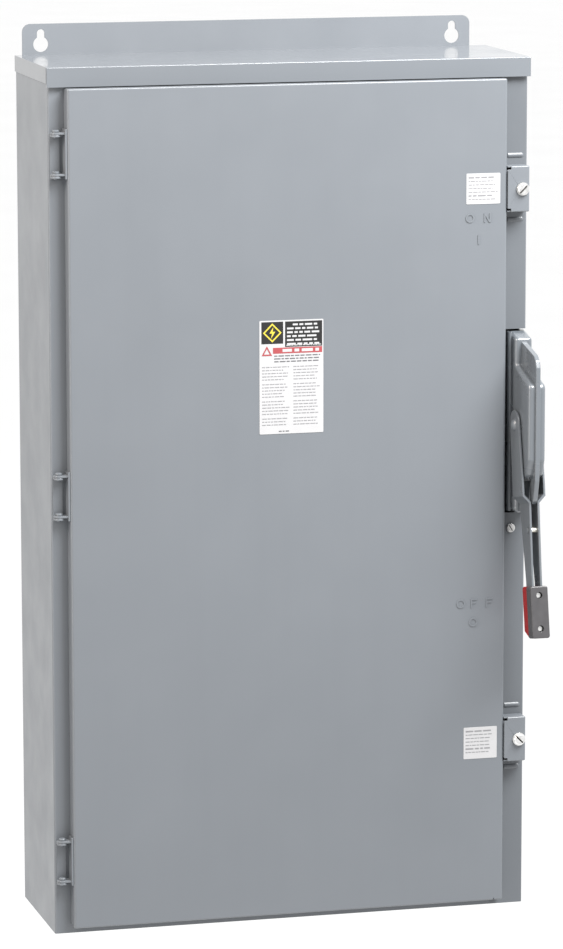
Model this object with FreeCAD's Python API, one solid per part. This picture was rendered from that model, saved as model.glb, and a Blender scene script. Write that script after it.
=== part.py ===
import FreeCAD, Part
import math
import os

# Wall-mounted, side-operated safety switch in a rainproof steel case.
# Own frame in millimetres: X to the right, Y into the wall, Z up.  The origin
# is the middle of the case's back, on the wall.  The switch is shown OFF, with
# its lever down and its door shut.

Vector = FreeCAD.Vector

# ---- driving dimensions -----------------------------------------------------
case_width = 702.0
case_height = 1245.0
case_depth = 216.0
sheet = 2.0
bend_radius = 3.0

flange_top = 667.0
flange_left = -342.0
flange_right = 328.5
flange_corner = 12.0
keyhole_spacing = 616.0
keyhole_centre_z = 637.5
keyhole_radius = 11.0
keyhole_neck_radius = 5.5
keyhole_neck_z = 653.5
wall_hole_radius = 5.5
wall_hole_spacing = 580.0
wall_hole_z = -560.0

strip_left = 33.0
strip_right = 51.0
strip_top = 40.0
strip_bottom = 32.0
strip_lip = 10.0

hood_sheet = 1.5
hood_overhang = 8.0
hood_side_gap = 0.8
hood_front_drop = 28.0
hood_side_drop = 23.0

door_left = -327.5
door_right = 314.5
door_top = 593.0
door_bottom = -611.0
door_proud = 22.0
door_clearance = 0.6
stiffener_places = (-130.0, 110.0)
latch_front = door_proud + 2.0
mark_x = 272.0
mark_proud = 0.9
mark_height = 13.0
on_mark_z = 395.0
line_mark_z = 364.0
off_mark_z = -166.0
circle_mark_z = -194.0

hinge_heights = (502.0, 17.0, -513.0)
hinge_x = -342.0
hinge_forward = 11.0
hinge_half = 29.0
hinge_plate = 3.0
hinge_pin_radius = 3.0
hinge_ear_radius = 7.4
strap_sheet = 2.6
running_gap = 0.08

latch_heights = (435.0, -371.0)
latch_width = 32.5
latch_height = 66.0
latch_bolt_x = 337.0
latch_bolt_radius = 4.0
latch_collar_radius = 9.6
latch_head_radius = 8.0
latch_hole_radius = 6.0
latch_notch = 5.0

opening_left = 318.0
opening_back = 30.0
opening_low = -39.0
opening_high = 230.0

release_x = 329.5
release_z = -61.5
release_radius = 3.9
release_head = 3.6
release_head_radius = 6.4
release_slot_angle = 60.0

handle_x = 339.5
pivot_forward = 38.0
pivot_z = 96.0
pivot_radius = 8.0
handle_lean = 11.0
arm_plate = 3.0
arm_outer = 17.2
arm_inner = 7.8
joggle_start = 104.0
joggle_end = 114.0
grip_top = 233.5
grip_end = 308.5
grip_half = 13.0
grip_parting = 5.0
grip_face = 25.0
grip_screw_places = (246.5, 294.5)
grip_well_radius = 4.6
grip_well_floor = 17.0
grip_back = -15.0
grip_corner = 3.5
grip_face_round = 1.8
cross_pin_radius = 4.0
hook_x = 290.0
housing_half = 13.0
housing_wall = 3.0
housing_base = -35.0
housing_foot = 4.7
rib_half = 3.4
cross_pin_place = (77.0, -52.0)
crank_radius = 30.0
rotor_y = -120.0
rotor_z = 84.0
crank_x = 338.0
crank_plate = 4.0
link_x = 343.5
link_plate = 3.0
link_pin_radius = 4.0
link_back_gap = 0.6

pole_pitch = 150.0
pole_places = (-pole_pitch, 0.0, pole_pitch)
blade_reach = 85.0
blade_half_width = 15.0
blade_plate = 6.0
blade_throw = 55.0
base_half_width = 215.0
contact_gap = 0.4
leaf_plate = 3.0

fuse_axis_y = -100.0
fuse_radius = 33.0
fuse_cap_radius = 34.5
fuse_top = -84.0
fuse_bottom = -379.0
fuse_blade_length = 42.0
fuse_blade_width = 41.0
fuse_blade_plate = 6.0
wire_bore_radius = 11.0

half_width = case_width / 2
half_height = case_height / 2
wall_top = half_height - hood_sheet
pivot_y = -(case_depth + pivot_forward)
lean = math.radians(handle_lean)
crank_pin_dy = crank_radius * math.sin(lean)
crank_pin_dz = crank_radius * math.cos(lean)


# ---- small helpers ----------------------------------------------------------
def block(x0, x1, y0, y1, z0, z1):
    return Part.makeBox(x1 - x0, y1 - y0, z1 - z0, Vector(x0, y0, z0))


def forward(distance):
    """The Y of a plane this far in front of the case's front strips."""
    return -(case_depth + distance)


def front_block(x0, x1, f0, f1, z0, z1):
    """A block given by its distances in front of the case's front strips."""
    return block(x0, x1, forward(f1), forward(f0), z0, z1)


def rod_x(radius, x0, x1, y, z):
    return Part.makeCylinder(radius, x1 - x0, Vector(x0, y, z), Vector(1, 0, 0))


def rod_y(radius, x, y0, y1, z):
    return Part.makeCylinder(radius, y1 - y0, Vector(x, y0, z), Vector(0, 1, 0))


def rod_z(radius, x, y, z0, z1):
    return Part.makeCylinder(radius, z1 - z0, Vector(x, y, z0), Vector(0, 0, 1))


def face_of(points):
    return Part.Face(Part.makePolygon(list(points) + [points[0]]))


def plate_x(outline, x0, x1):
    """Extrude an outline of (forward, z) points from x0 to x1."""
    points = [Vector(x0, forward(f), z) for f, z in outline]
    return face_of(points).extrude(Vector(x1 - x0, 0, 0))


def plate_z(outline, z0, z1):
    """Extrude an outline of (x, y) points from z0 to z1."""
    points = [Vector(x, y, z0) for x, y in outline]
    return face_of(points).extrude(Vector(0, 0, z1 - z0))


def joined(first, *others):
    return first.fuse(list(others)).removeSplitter()


def turned_x(shape, degrees, y, z):
    """Turn a copy about an X axis, from Y towards Z."""
    copy = shape.copy()
    copy.rotate(Vector(0, y, z), Vector(1, 0, 0), degrees)
    return copy


def moved(shape, x=0.0, y=0.0, z=0.0):
    copy = shape.copy()
    copy.translate(Vector(x, y, z))
    return copy


def edges_along(shape, axis, test):
    """Straight edges along one axis whose middle passes a test."""
    chosen = []
    for edge in shape.Edges:
        if edge.Curve.TypeId != "Part::GeomLine":
            continue
        start = edge.Vertexes[0].Point
        end = edge.Vertexes[-1].Point
        run = end.sub(start)
        if abs(abs(run.dot(axis)) - run.Length) > 1e-6:
            continue
        if test(start.add(end).multiply(0.5)):
            chosen.append(edge)
    return chosen


def rounded(shape, radius, axis, test):
    return shape.makeFillet(radius, edges_along(shape, axis, test))


along_x = Vector(1, 0, 0)
along_y = Vector(0, 1, 0)
along_z = Vector(0, 0, 1)


def ring_stack(x, y, z0, turns, pitch, coil_radius, wire_radius):
    """A close-wound coil with its axis along X, one closed ring a turn."""
    rings = []
    for turn in range(turns):
        centre = Vector(x + turn * pitch, y, z0)
        rings.append(Part.makeTorus(coil_radius, wire_radius, centre, along_x))
    return Part.makeCompound(rings)


def save(name, *solids):
    shape = solids[0] if len(solids) == 1 else Part.makeCompound(list(solids))
    shape.exportStep("parts/" + name + ".step")


# ---- the case ---------------------------------------------------------------
def keyhole(x):
    thick = sheet + 2
    big = rod_y(keyhole_radius, x, -thick, 1, keyhole_centre_z)
    tip = rod_y(keyhole_neck_radius, x, -thick, 1, keyhole_neck_z)
    neck = block(x - keyhole_neck_radius, x + keyhole_neck_radius, -thick, 1,
                 keyhole_centre_z, keyhole_neck_z)
    return big.fuse([tip, neck])


def back_panel():
    inner = half_width - sheet
    panel = block(-inner, inner, -sheet, 0, -half_height + sheet, wall_top - sheet)
    flange = block(flange_left, flange_right, -sheet, 0, wall_top - sheet - 1, flange_top)
    flange = rounded(flange, flange_corner, along_y, lambda p: p.z > flange_top - 1)
    centre = (flange_left + flange_right) / 2
    holes = [keyhole(centre + side * keyhole_spacing / 2) for side in (-1, 1)]
    for side in (-1, 1):
        x = side * wall_hole_spacing / 2
        holes.append(rod_y(wall_hole_radius, x, -sheet - 1, 1, wall_hole_z))
    return joined(panel, flange).cut(holes)


def side_section(side, strip):
    """A side wall with its front strip and the strip's lip, in plan."""
    outer = side * half_width
    skin = side * sheet
    edge = outer - side * strip
    front = -case_depth
    return [
        (outer, 0), (outer, front), (edge, front), (edge, front + strip_lip),
        (edge + skin, front + strip_lip), (edge + skin, front + sheet),
        (outer - skin, front + sheet), (outer - skin, 0),
    ]


def side_panel(side, strip):
    panel = plate_z(side_section(side, strip), -half_height, wall_top)
    outer = half_width
    front = -case_depth
    panel = rounded(panel, bend_radius, along_z,
                    lambda p: abs(p.x) > outer - 0.1 and p.y < front + 0.1)
    return rounded(panel, bend_radius - sheet, along_z,
                   lambda p: abs(abs(p.x) - outer + sheet) < 0.1 and abs(p.y - front - sheet) < 0.1)


def strip_ridge(x, z):
    """A raised horizontal rib pressed out of the right front strip."""
    ridge = rod_x(5.0, x - 12, x + 8, forward(-3.4), z)
    ridge = joined(ridge, Part.makeSphere(5.0, Vector(x + 8, forward(-3.4), z)))
    return ridge.common(front_block(x - 20, x + 20, -0.5, 5, z - 9, z + 9))


def left_side_panel():
    return side_panel(-1, strip_left)


def right_side_panel():
    panel = side_panel(1, strip_right)
    cuts = [block(opening_left, half_width + 1, -case_depth - 1,
                  -case_depth + opening_back, opening_low, opening_high)]
    for height in latch_heights:
        cuts.append(rod_y(latch_hole_radius, latch_bolt_x, -case_depth - 1,
                          -case_depth + sheet + 1, height))
    bore = release_radius + running_gap
    cuts.append(rod_y(bore, release_x, -case_depth - 1, -case_depth + sheet + 1, release_z))
    panel = panel.cut(cuts)
    ridges = []
    for height in latch_heights:
        for side in (-1, 1):
            ridges.append(strip_ridge(latch_bolt_x - 3, height + side * (latch_height / 2 + 13)))
    return joined(panel, *ridges)


def end_wall(z_out, strip, side):
    """The top or bottom wall with its front strip and lip."""
    inner = half_width - sheet
    z_in = z_out - side * sheet
    low, high = sorted((z_in, z_out))
    wall = block(-inner, inner, -case_depth + sheet, -sheet, low, high)
    left = -half_width + strip_left
    right = half_width - strip_right
    z_edge = z_out - side * strip
    low, high = sorted((z_edge, z_out))
    front = block(left, right, -case_depth, -case_depth + sheet, low, high)
    low, high = sorted((z_edge, z_edge + side * sheet))
    lip = block(left + sheet, right - sheet, -case_depth, -case_depth + strip_lip, low, high)
    notches = []
    for x0 in (left - sheet - 0.3, right - 0.3):
        notches.append(block(x0, x0 + sheet + 0.6, -case_depth + sheet,
                             -case_depth + strip_lip + 0.5, -half_height, half_height))
    return joined(wall.cut(notches), front, lip)


def rain_hood():
    side = half_width + hood_side_gap + hood_sheet
    front = forward(hood_overhang)
    top = block(-side, side, front, -sheet, wall_top, half_height)
    top = rounded(top, hood_sheet * 0.9, along_x, lambda p: p.y < front + 0.1 and p.z > wall_top + 1)
    apron = block(-side, side, front, front + hood_sheet,
                  half_height - hood_front_drop, wall_top)
    hood = joined(top, apron)
    for s in (-1, 1):
        x0, x1 = sorted((s * side, s * (side - hood_sheet)))
        hood = joined(hood, block(x0, x1, front + 5, -sheet,
                                  half_height - hood_side_drop, wall_top))
    return hood


# ---- the door and its hinges ------------------------------------------------
def stroke(x, z, width, height, cut_width=0.0, cut_height=0.0):
    """A raised bar on the door, or a rectangular ring if a hole is given."""
    depth = door_proud + mark_proud
    bar = front_block(x - width / 2, x + width / 2, door_proud - 0.5, depth,
                      z - height / 2, z + height / 2)
    if cut_width:
        bar = bar.cut(front_block(x - cut_width / 2, x + cut_width / 2, door_proud - 1,
                                  depth + 1, z - cut_height / 2, z + cut_height / 2))
    return bar


def letter_o(x, z):
    depth = door_proud + mark_proud
    outer = rod_y(6.5, x, forward(depth), forward(door_proud - 0.5), z)
    return outer.cut(rod_y(4.5, x, forward(depth + 1), forward(door_proud - 1), z))


def letter_n(x, z):
    height = mark_height
    width = 10.0
    bars = [stroke(x - width / 2 + 1, z, 2, height), stroke(x + width / 2 - 1, z, 2, height)]
    y = forward(door_proud + mark_proud)
    outline = [
        (x - width / 2, z + height / 2), (x - width / 2 + 2.6, z + height / 2),
        (x + width / 2, z - height / 2), (x + width / 2 - 2.6, z - height / 2),
    ]
    slope = face_of([Vector(px, y, pz) for px, pz in outline]).extrude(Vector(0, 1.4, 0))
    return joined(bars[0], bars[1], slope)


def letter_f(x, z):
    stem = stroke(x - 4, z, 2, mark_height)
    top = stroke(x, z + 5.5, 10, 2)
    middle = stroke(x - 1, z + 0.5, 8, 2)
    return joined(stem, top, middle)


def door():
    rear = forward(door_clearance)
    front = forward(door_proud)
    shell = block(door_left, door_right, front, rear, door_bottom, door_top)
    shell = rounded(shell, 4.0, along_z, lambda p: p.y < front + 0.1)
    shell = rounded(shell, 2.0, along_x, lambda p: p.y < front + 0.1)
    hollow = block(door_left + sheet, door_right - sheet, front + sheet, rear + 1,
                   door_bottom + sheet, door_top - sheet)
    shell = shell.cut(hollow)
    relief = block(door_right - 14.5, door_right - 13.0, front - 1, rear + 1,
                   door_bottom - 1, door_bottom + 3)
    shell = shell.cut(relief)
    marks = [
        letter_o(mark_x - 13, on_mark_z), letter_n(mark_x + 13, on_mark_z),
        stroke(mark_x, line_mark_z, 2.2, mark_height), letter_o(mark_x - 24, off_mark_z),
        letter_f(mark_x - 4, off_mark_z), letter_f(mark_x + 19, off_mark_z),
        letter_o(mark_x - 5, circle_mark_z),
    ]
    return joined(shell, *marks)


def door_stiffeners():
    """Two hat-section ribs spot-welded to the inside of the door skin."""
    skin = door_proud - sheet
    low = door_bottom + 40
    high = door_top - 40
    ribs = []
    for x in stiffener_places:
        hat = front_block(x - 22, x + 22, 6, skin, low, high)
        inside = front_block(x - 20, x + 20, 8, skin + 1, low - 10, high + 10)
        feet = front_block(x - 34, x + 34, skin - 1.5, skin, low, high)
        feet = feet.cut(front_block(x - 20, x + 20, 7, skin + 1, low - 10, high + 10))
        ribs.append(joined(hat.cut(inside), feet))
    return ribs


def rounded_tab(x_base, x_tip, y, width, z0, z1):
    """A flat tab whose end is a half circle about the pin."""
    x0, x1 = sorted((x_base, x_tip))
    tab = block(x0, x1, y - width / 2, y + width / 2, z0, z1)
    return joined(tab, rod_z(width / 2, x_tip, y, z0, z1))


def hinge_ears(height):
    """The case's half of one hinge: a foot on the strip with two ears."""
    y = forward(hinge_forward)
    foot = front_block(hinge_x - 6.5, hinge_x + hinge_ear_radius, 0, 2.0,
                       height - hinge_half - 8, height + hinge_half - 1)
    parts = []
    for side in (-1, 1):
        top = height + side * hinge_half - hinge_plate / 2 - 0.4
        ear = joined(rod_z(hinge_ear_radius, hinge_x, y, top - hinge_plate, top),
                     front_block(hinge_x - 6.5, hinge_x + hinge_ear_radius, 0, hinge_forward,
                                 top - hinge_plate, top))
        parts.append(ear)
    holes = [rod_z(hinge_pin_radius, hinge_x, y, height - 60, height + 60)]
    return joined(foot, *parts).cut(holes)


def hinge_pins(height):
    """Two short headed pins that stand in the ears of one hinge."""
    pins = []
    for side in (-1, 1):
        arm_top = height + side * hinge_half + hinge_plate / 2
        y = forward(hinge_forward)
        low = arm_top - 2 * hinge_plate - 2.4
        shank = rod_z(hinge_pin_radius, hinge_x, y, low, arm_top + 0.5)
        head = rod_z(5.0, hinge_x, y, arm_top + 0.4, arm_top + 3.4)
        head = head.makeChamfer(0.8, [head.Edges[0]])
        pins.append(joined(shank, head))
    return pins


def hinge_strap(height):
    """The door's half of one hinge: a C-shaped strap with two arms."""
    y = forward(hinge_forward)
    hole = rod_z(hinge_pin_radius + running_gap, hinge_x, y, height - 60, height + 60)
    bar = front_block(door_left - strap_sheet, door_left, 1.0, door_proud - 4,
                      height - hinge_half - 6, height + hinge_half + 6)
    lap = front_block(door_left - strap_sheet, door_left, door_proud - 4, door_proud - 2,
                      height - hinge_half - 6, height + hinge_half + 6)
    arms = []
    for side in (-1, 1):
        low = height + side * hinge_half - hinge_plate / 2
        arms.append(rounded_tab(door_left - 1, hinge_x, y, 14.8, low, low + hinge_plate))
    return joined(bar, lap, *arms).cut(hole)


# ---- door latches, labels and interlock release -----------------------------

def latch_bracket(height):
    """A folded pan on the door's edge that carries one captive bolt."""
    x0 = door_right + 0.5
    x1 = x0 + latch_width
    front = latch_front
    low = height - latch_height / 2
    high = height + latch_height / 2
    pan = front_block(x0, x1, 0.6, front, low, high)
    pan = rounded(pan, 2.5, along_z, lambda p: p.y < forward(front) + 0.1 and p.x > x1 - 0.1)
    pan = rounded(pan, 1.8, along_x, lambda p: p.y < forward(front) + 0.1)
    hollow = front_block(x0 - 1, x1 - sheet, 0.0, front - sheet, low + sheet, high - sheet)
    pan = pan.cut(hollow)
    for z in (low, high - latch_notch):
        pan = pan.cut(front_block(x0 - 1, x0 + latch_notch, front - 3, front + 1, z, z + latch_notch))
    web = front_block(door_right, x0 + 1.5, 2.0, front - 4, low + 6, high - 6)
    hole = rod_y(latch_bolt_radius + running_gap, latch_bolt_x, forward(front + 1),
                 forward(front - sheet - 1), height)
    return joined(pan, web).cut(hole)


def latch_bolt(height, slot_angle):
    """A captive bolt: domed slotted head with a collar, and a plain shank."""
    front = latch_front
    collar_top = front + 1.9
    head_top = front + 6.2
    collar = rod_y(latch_collar_radius, latch_bolt_x, forward(collar_top), forward(front + 0.4), height)
    head = rod_y(latch_head_radius, latch_bolt_x, forward(head_top), forward(collar_top), height)
    crown = [edge for edge in head.Edges if abs(edge.CenterOfMass.y - forward(head_top)) < 0.01]
    head = head.makeChamfer(1.2, crown)
    slot = front_block(latch_bolt_x - 11, latch_bolt_x + 11, front + 3.4, front + 8,
                       height - 1.2, height + 1.2)
    slot.rotate(Vector(latch_bolt_x, 0, height), along_y, slot_angle)
    shank = rod_y(latch_bolt_radius, latch_bolt_x, forward(front + 2), forward(-9), height)
    keeper = rod_y(6.6, latch_bolt_x, forward(front - sheet - 0.4),
                   forward(front - sheet - 1.9), height)
    return joined(collar, head, shank, keeper).cut(slot)


def latch_nut(height):
    """The nut plate behind the strip that one latch bolt enters."""
    plate = front_block(latch_bolt_x - 9, latch_bolt_x + 9, -8, -sheet, height - 9, height + 9)
    plate = rounded(plate, 2.5, along_y, lambda p: True)
    return plate.cut(rod_y(4.5, latch_bolt_x, forward(0), forward(-9), height))


def label(x0, x1, z0, z1, thick=0.4):
    plate = front_block(x0, x1, door_proud, door_proud + thick, z0, z1)
    return rounded(plate, 1.5, along_y, lambda p: True)


def wiring_label():
    skin = door_proud - sheet
    plate = front_block(-60, 70, skin - 0.4, skin, -90, 90)
    return rounded(plate, 3.0, along_y, lambda p: True)


def release_screw():
    """A slotted screw through the strip with a short finger behind it."""
    head = rod_y(release_head_radius, release_x, forward(release_head), forward(0.4), release_z)
    crown = [edge for edge in head.Edges
             if abs(edge.CenterOfMass.y - forward(release_head)) < 0.01]
    head = head.makeChamfer(1.0, crown)
    slot = front_block(release_x - 8, release_x + 8, release_head - 1.4, release_head + 1.4,
                       release_z - 0.8, release_z + 0.8)
    slot.rotate(Vector(release_x, 0, release_z), along_y, release_slot_angle)
    shank = rod_y(release_radius, release_x, forward(1), forward(-8), release_z)
    finger = front_block(release_x - 16, release_x, -8, -5, release_z - 3, release_z + 3)
    return joined(head, shank, finger).cut(slot)


def door_hook():
    """A steel hook on the inside of the door that the interlock holds."""
    skin = door_proud - sheet
    outline = [
        (skin, -66), (skin, -36), (skin - 2, -36), (skin - 2, -40), (-22, -40),
        (-22, -22), (-30, -22), (-30, -52), (skin - 2, -52), (skin - 2, -66),
    ]
    blade = plate_x(outline, hook_x, hook_x + 3.5)
    foot = front_block(hook_x - 14, hook_x, skin - 2, skin, -66, -36)
    return joined(blade, foot)


# ---- the lever handle and its cover -----------------------------------------
def arm_point(along, across):
    """(forward, z) of a point down the lever, in its leaning frame."""
    f = pivot_forward + along * math.sin(lean) + across * math.cos(lean)
    z = pivot_z - along * math.cos(lean) + across * math.sin(lean)
    return f, z


def lever_arm(side):
    """One pressed arm: wide apart at the pivot, closer at the grip."""
    outline = [(0, -21), (0, 21), (88, 24), (110, 23), (215, 17), (248, 16), (248, -11),
               (228, -11), (128, -21), (118, -24), (108, -24)]
    flat = plate_x([arm_point(s, w) for s, w in outline], handle_x - 30, handle_x + 30)
    top = rod_x(21.0, handle_x - 30, handle_x + 30, pivot_y, pivot_z)
    blank = joined(flat, top)
    pin_f, pin_z = cross_pin_place
    holes = [rod_x(pivot_radius, handle_x - 30, handle_x + 30, pivot_y, pivot_z),
             rod_x(cross_pin_radius, handle_x - 30, handle_x + 30, forward(pin_f), pin_z)]
    outer = side * arm_outer
    outer_face = side * (arm_outer - arm_plate)
    inner = side * arm_inner
    inner_face = side * (arm_inner - arm_plate)
    path = [
        (outer, -30), (outer, joggle_start), (inner, joggle_end), (inner, 260),
        (inner_face, 260), (inner_face, joggle_end - 2), (outer_face, joggle_start - 2),
        (outer_face, -30),
    ]
    points = [Vector(handle_x + x, pivot_y + 60, pivot_z - s) for x, s in path]
    bent = face_of(points).extrude(Vector(0, -160, 0))
    bent = turned_x(bent, -handle_lean, pivot_y, pivot_z)
    return blank.common(bent).cut(holes)


def pivot_bolt():
    """The lever's shaft, with a domed head outside each arm."""
    reach = arm_outer
    shaft = rod_x(pivot_radius, handle_x - reach - 1, handle_x + reach + 1, pivot_y, pivot_z)
    heads = []
    for side in (-1, 1):
        ball = Part.makeSphere(11.0, Vector(handle_x + side * (reach - 6.2), pivot_y, pivot_z))
        x0, x1 = sorted((handle_x + side * reach, handle_x + side * (reach + 9)))
        heads.append(ball.common(block(x0, x1, pivot_y - 15, pivot_y + 15,
                                       pivot_z - 15, pivot_z + 15)))
    return joined(shaft, *heads)


def cross_pin():
    f, z = cross_pin_place
    reach = arm_inner + 0.8
    return rod_x(cross_pin_radius, handle_x - reach, handle_x + reach, forward(f), z)


def grip_shell(outline, face_across):
    """Half of the grip with soft corners and a soft outer face."""
    corners = [arm_point(s, w) for s, w in outline]
    shell = plate_x(corners, handle_x - grip_half, handle_x + grip_half)
    across = Vector(0, -math.cos(lean), math.sin(lean))
    f, z = arm_point(grip_top, face_across)
    face_point = Vector(handle_x, forward(f), z)
    shell = shell.makeFillet(grip_corner, [edge for edge in shell.Edges if runs_across(edge)])
    rim = []
    for edge in shell.Edges:
        ends = [abs(v.Point.sub(face_point).dot(across)) < 0.05 for v in edge.Vertexes]
        if all(ends):
            rim.append(edge)
    shell = shell.makeFillet(grip_face_round, rim)
    return shell.cut([lever_arm(-1), lever_arm(1)])


def runs_across(edge):
    """Whether an edge of the grip runs from its back to its front."""
    run = edge.Vertexes[-1].Point.sub(edge.Vertexes[0].Point)
    along = Vector(0, -math.sin(lean), -math.cos(lean))
    return abs(run.x) < 0.01 and abs(run.dot(along)) < run.Length * 0.5


def grip_front():
    outline = [(grip_top, grip_parting), (grip_top, grip_face), (grip_end, grip_face),
               (grip_end, grip_parting)]
    shell = grip_shell(outline, grip_face)
    wells = []
    for along in grip_screw_places:
        wells.append(grip_rod(grip_well_radius, along, grip_well_floor, 30.0))
        wells.append(grip_rod(2.0, along, -10.0, 21.0))
    return shell.cut(wells)


def grip_rear():
    outline = [(grip_top, grip_back), (grip_top, grip_parting), (grip_end, grip_parting),
               (grip_end - 9.0, grip_back)]
    holes = [grip_rod(2.0, along, -9.0, 6.0) for along in grip_screw_places]
    return grip_shell(outline, grip_back).cut(holes)


def grip_rod(radius, along, across0, across1):
    f, z = arm_point(along, across0)
    direction = Vector(0, -math.cos(lean), math.sin(lean))
    return Part.makeCylinder(radius, across1 - across0, Vector(handle_x, forward(f), z), direction)


def grip_screw(along):
    head = grip_rod(3.4, along, grip_well_floor, grip_well_floor + 2.5)
    shank = grip_rod(2.0, along, -8.0, grip_well_floor)
    return joined(head, shank)


def housing_outline():
    """The cover's side view: shallow block, deep bulge and a base below it."""
    return [
        (-20, 24), (-20, 226.5), (0, 226.5), (28, 220), (28, 181), (93, 161),
        (93, 52), (86, 30), (76, 22), (30, 14), (30, housing_base), (-12, housing_base), (-12, 24),
    ]


def housing_rib():
    """The middle rib: a web over the block that runs down into a nose."""
    outline = [
        (10, 221), (30, 214), (85, 202), (93, 196), (97, 186), (97, 60), (95, 22),
        (87, -8), (80, -14), (72, -11), (64, 40), (20, 120),
    ]
    rib = plate_x(outline, handle_x - rib_half, handle_x + rib_half)
    rib = rounded(rib, 5.0, along_x, lambda p: p.y < forward(86))
    return rib.makeFillet(1.4, side_edges(rib, rib_half, forward(66)))


def side_edges(shape, half, y_limit):
    """Edges of both side faces that lie in front of a plane."""
    chosen = []
    for edge in shape.Edges:
        box = edge.BoundBox
        flat = box.XMax - box.XMin < 0.01
        outer = abs(abs(box.XMin - handle_x) - half) < 0.01
        if flat and outer and edge.CenterOfMass.y < y_limit:
            chosen.append(edge)
    return chosen


def handle_housing():
    """The die-cast cover: two soft bulges with a raised rib between them."""
    x0 = handle_x - housing_half
    x1 = handle_x + housing_half
    body = plate_x(housing_outline(), x0, x1)
    body = rounded(body, 9.0, along_x, lambda p: p.y < forward(78))
    body = rounded(body, 5.0, along_x, lambda p: forward(31) < p.y < forward(20))
    body = body.makeFillet(6.0, side_edges(body, housing_half, forward(2)))
    foot = front_block(x0 - housing_foot, x0 + 1, -5, 9, housing_base, 226.5)
    foot = rounded(foot, 4.0, along_z, lambda p: p.x < x0 and p.y < forward(8))
    shell = joined(body, housing_rib(), foot)
    wall = housing_wall
    inner = plate_x([(-30, 28), (-30, 220), (20, 214), (22, 210), (22, 176), (87, 156), (87, 54),
                     (80, 36), (70, 30)], x0 + wall, x1 - wall)
    open_back = block(x0 + wall, x1 - wall, forward(5), forward(-30), 15, 220)
    base_hollow = block(x0 + wall, x1 - wall, forward(26), forward(-30), housing_base + wall, 30)
    shaft_hole = rod_x(pivot_radius + running_gap, x0 - 1, x1 + 1, pivot_y, pivot_z)
    return shell.cut([inner, open_back, base_hollow, shaft_hole])


def crank(hub_y, hub_z):
    """A crank opposite the lever, ending in the pin for the drive link."""
    pin_y = hub_y + crank_pin_dy
    pin_z = hub_z + crank_pin_dz
    x1 = crank_x + crank_plate
    hub = rod_x(14.0, crank_x, x1, hub_y, hub_z)
    tip = rod_x(8.0, crank_x, x1, pin_y, pin_z)
    bar = block(crank_x, x1, hub_y, hub_y + crank_radius, hub_z - 8, hub_z + 8)
    bar = turned_x(bar, 90 - handle_lean, hub_y, hub_z)
    pin = rod_x(link_pin_radius, crank_x, link_x + link_plate + 1.0, pin_y, pin_z)
    return joined(hub, tip, bar, pin)


def handle_crank():
    bore = rod_x(pivot_radius, crank_x - 1, crank_x + crank_plate + 1, pivot_y, pivot_z)
    return crank(pivot_y, pivot_z).cut(bore)


def drive_link():
    """The bar that carries the lever's turn back into the case."""
    front_y = pivot_y + crank_pin_dy
    front_z = pivot_z + crank_pin_dz
    back_y = rotor_y + crank_pin_dy
    back_z = rotor_z + crank_pin_dz
    length = math.hypot(back_y - front_y, back_z - front_z)
    slope = math.degrees(math.atan2(back_z - front_z, back_y - front_y))
    x1 = link_x + link_plate
    bar = block(link_x, x1, front_y, front_y + length, front_z - 6.5, front_z + 6.5)
    bar = turned_x(bar, slope, front_y, front_z)
    ends = [rod_x(8.0, link_x, x1, y, z) for y, z in ((front_y, front_z), (back_y, back_z))]
    holes = [rod_x(link_pin_radius + running_gap, link_x - 1, x1 + 1, front_y, front_z),
             rod_x(link_pin_radius + link_back_gap, link_x - 1, x1 + 1, back_y, back_z)]
    return joined(bar, *ends).cut(holes)


# ---- the mechanism behind the lever -----------------------------------------
frame_left = 302.0
frame_right = 333.0
frame_plate = 3.0
shaft_radius = 9.0
lock_pivot_y = forward(-80)
lock_pivot_z = -30.0
lock_reach = 66.0
lock_throw = 25.0


def mechanism_frame():
    """Two cheek plates on a foot, with the bearings of the drive shaft."""
    outline = [(-16, 150), (-190, 150), (-212, 150), (-212, -70), (-160, -70),
               (-40, -52), (-16, 20)]
    cheeks = []
    for x in (frame_left, frame_right):
        cheeks.append(plate_x(outline, x, x + frame_plate))
    foot = block(frame_left, frame_right + frame_plate, -sheet - 3, -sheet, -70, 150)
    tie = block(frame_left, frame_right + frame_plate, -60, -57, 130, 150)
    bore = rod_x(shaft_radius + running_gap, frame_left - 1, frame_right + 4, rotor_y, rotor_z)
    lock_pin = rod_x(4.0, frame_left - 9, frame_left, lock_pivot_y, lock_pivot_z)
    return joined(cheeks[0], cheeks[1], foot, tie, lock_pin).cut(bore)


def handle_baffle():
    """A folded plate that closes the case behind the lever's opening."""
    right = handle_x - housing_half
    plate = front_block(frame_left, right, -9, -6, opening_low - 8, opening_high + 8)
    window = front_block(release_x - 22, right, -12, -3, opening_low - 30, opening_low - 7)
    return plate.cut(window)


def throw_crank():
    """The second crank and its shaft, which turn with the lever."""
    shaft = rod_x(shaft_radius, 300.0, crank_x + 1, rotor_y, rotor_z)
    return joined(crank(rotor_y, rotor_z), shaft)


def toggle_spring():
    """A torsion spring round the drive shaft, with a leg on the frame."""
    start = frame_left + frame_plate + 5
    coil = ring_stack(start, rotor_y, rotor_z, 6, 3.2, 13.5, 1.5)
    leg = rod_z(1.5, start, rotor_y - 13.5, rotor_z, rotor_z + 44)
    return [coil, leg]


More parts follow.
